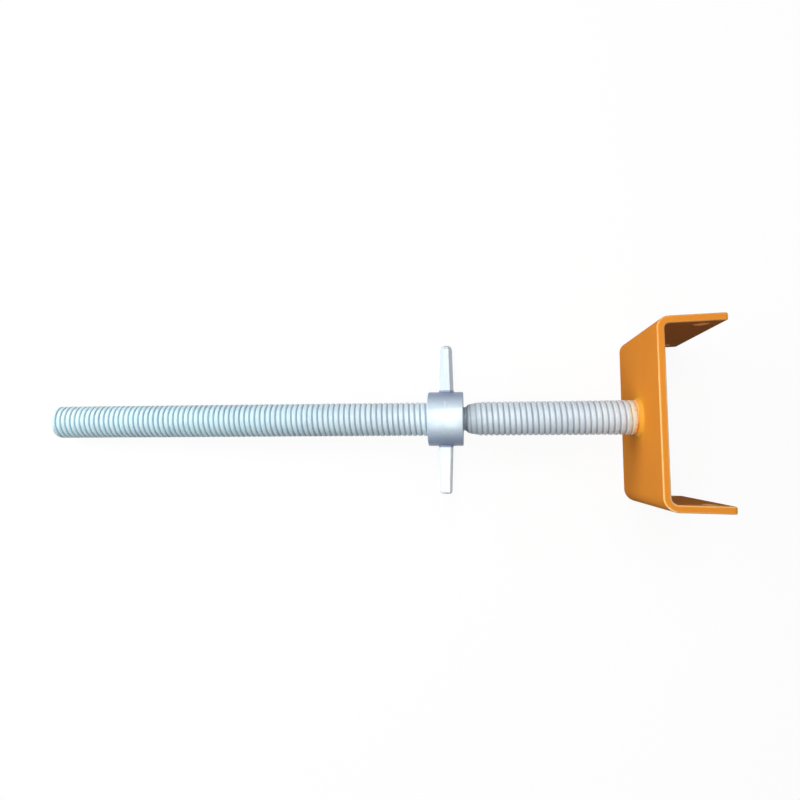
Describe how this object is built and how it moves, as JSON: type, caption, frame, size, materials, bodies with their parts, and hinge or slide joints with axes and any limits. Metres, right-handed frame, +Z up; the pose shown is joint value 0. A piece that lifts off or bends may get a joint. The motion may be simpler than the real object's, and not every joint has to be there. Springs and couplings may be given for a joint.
{
  "type": "u-head jack",
  "caption": "Scaffold screw jack: threaded spindle welded to an orange folded U-head that cradles a beam, with a wing nut that sets the height.",
  "frame": {"origin": "on the ground under the middle of the part as it lies on its side", "axes": "+X towards the U-head, +Y across the U-head's flanges and along the nut's handles, +Z up; the spindle slopes down to its free end"},
  "size_m": [0.7352, 0.1906, 0.1548],
  "materials": {
    "zinc_steel": "bright zinc plating",
    "orange_paint": "gloss orange enamel"
  },
  "bodies": {
    "jack": {"spindle": "zinc_steel", "u_head": "orange_paint", "head_weld": "orange_paint"},
    "nut": {"nut_collar": "zinc_steel"},
    "nut_handles": {"nut_handle_a": "zinc_steel", "nut_handle_b": "zinc_steel"}
  },
  "joints": [
    {"name": "nut_travel", "type": "slide", "parent": "jack", "child": "nut", "axis": [0.9964, 0, 0.0848], "range_m": [-0.432, 0.174]},
    {"name": "nut_turn", "type": "hinge", "parent": "nut", "child": "nut_handles", "pos_m": [0.09092, 0, 0.05722], "axis": [0.9964, 0, 0.0848], "range_deg": [-25920, 10440]}
  ],
  "couplings": [
    {"joint": "nut_travel", "follows": "nut_turn", "m_per_rad": 0.00095493}
  ]
}
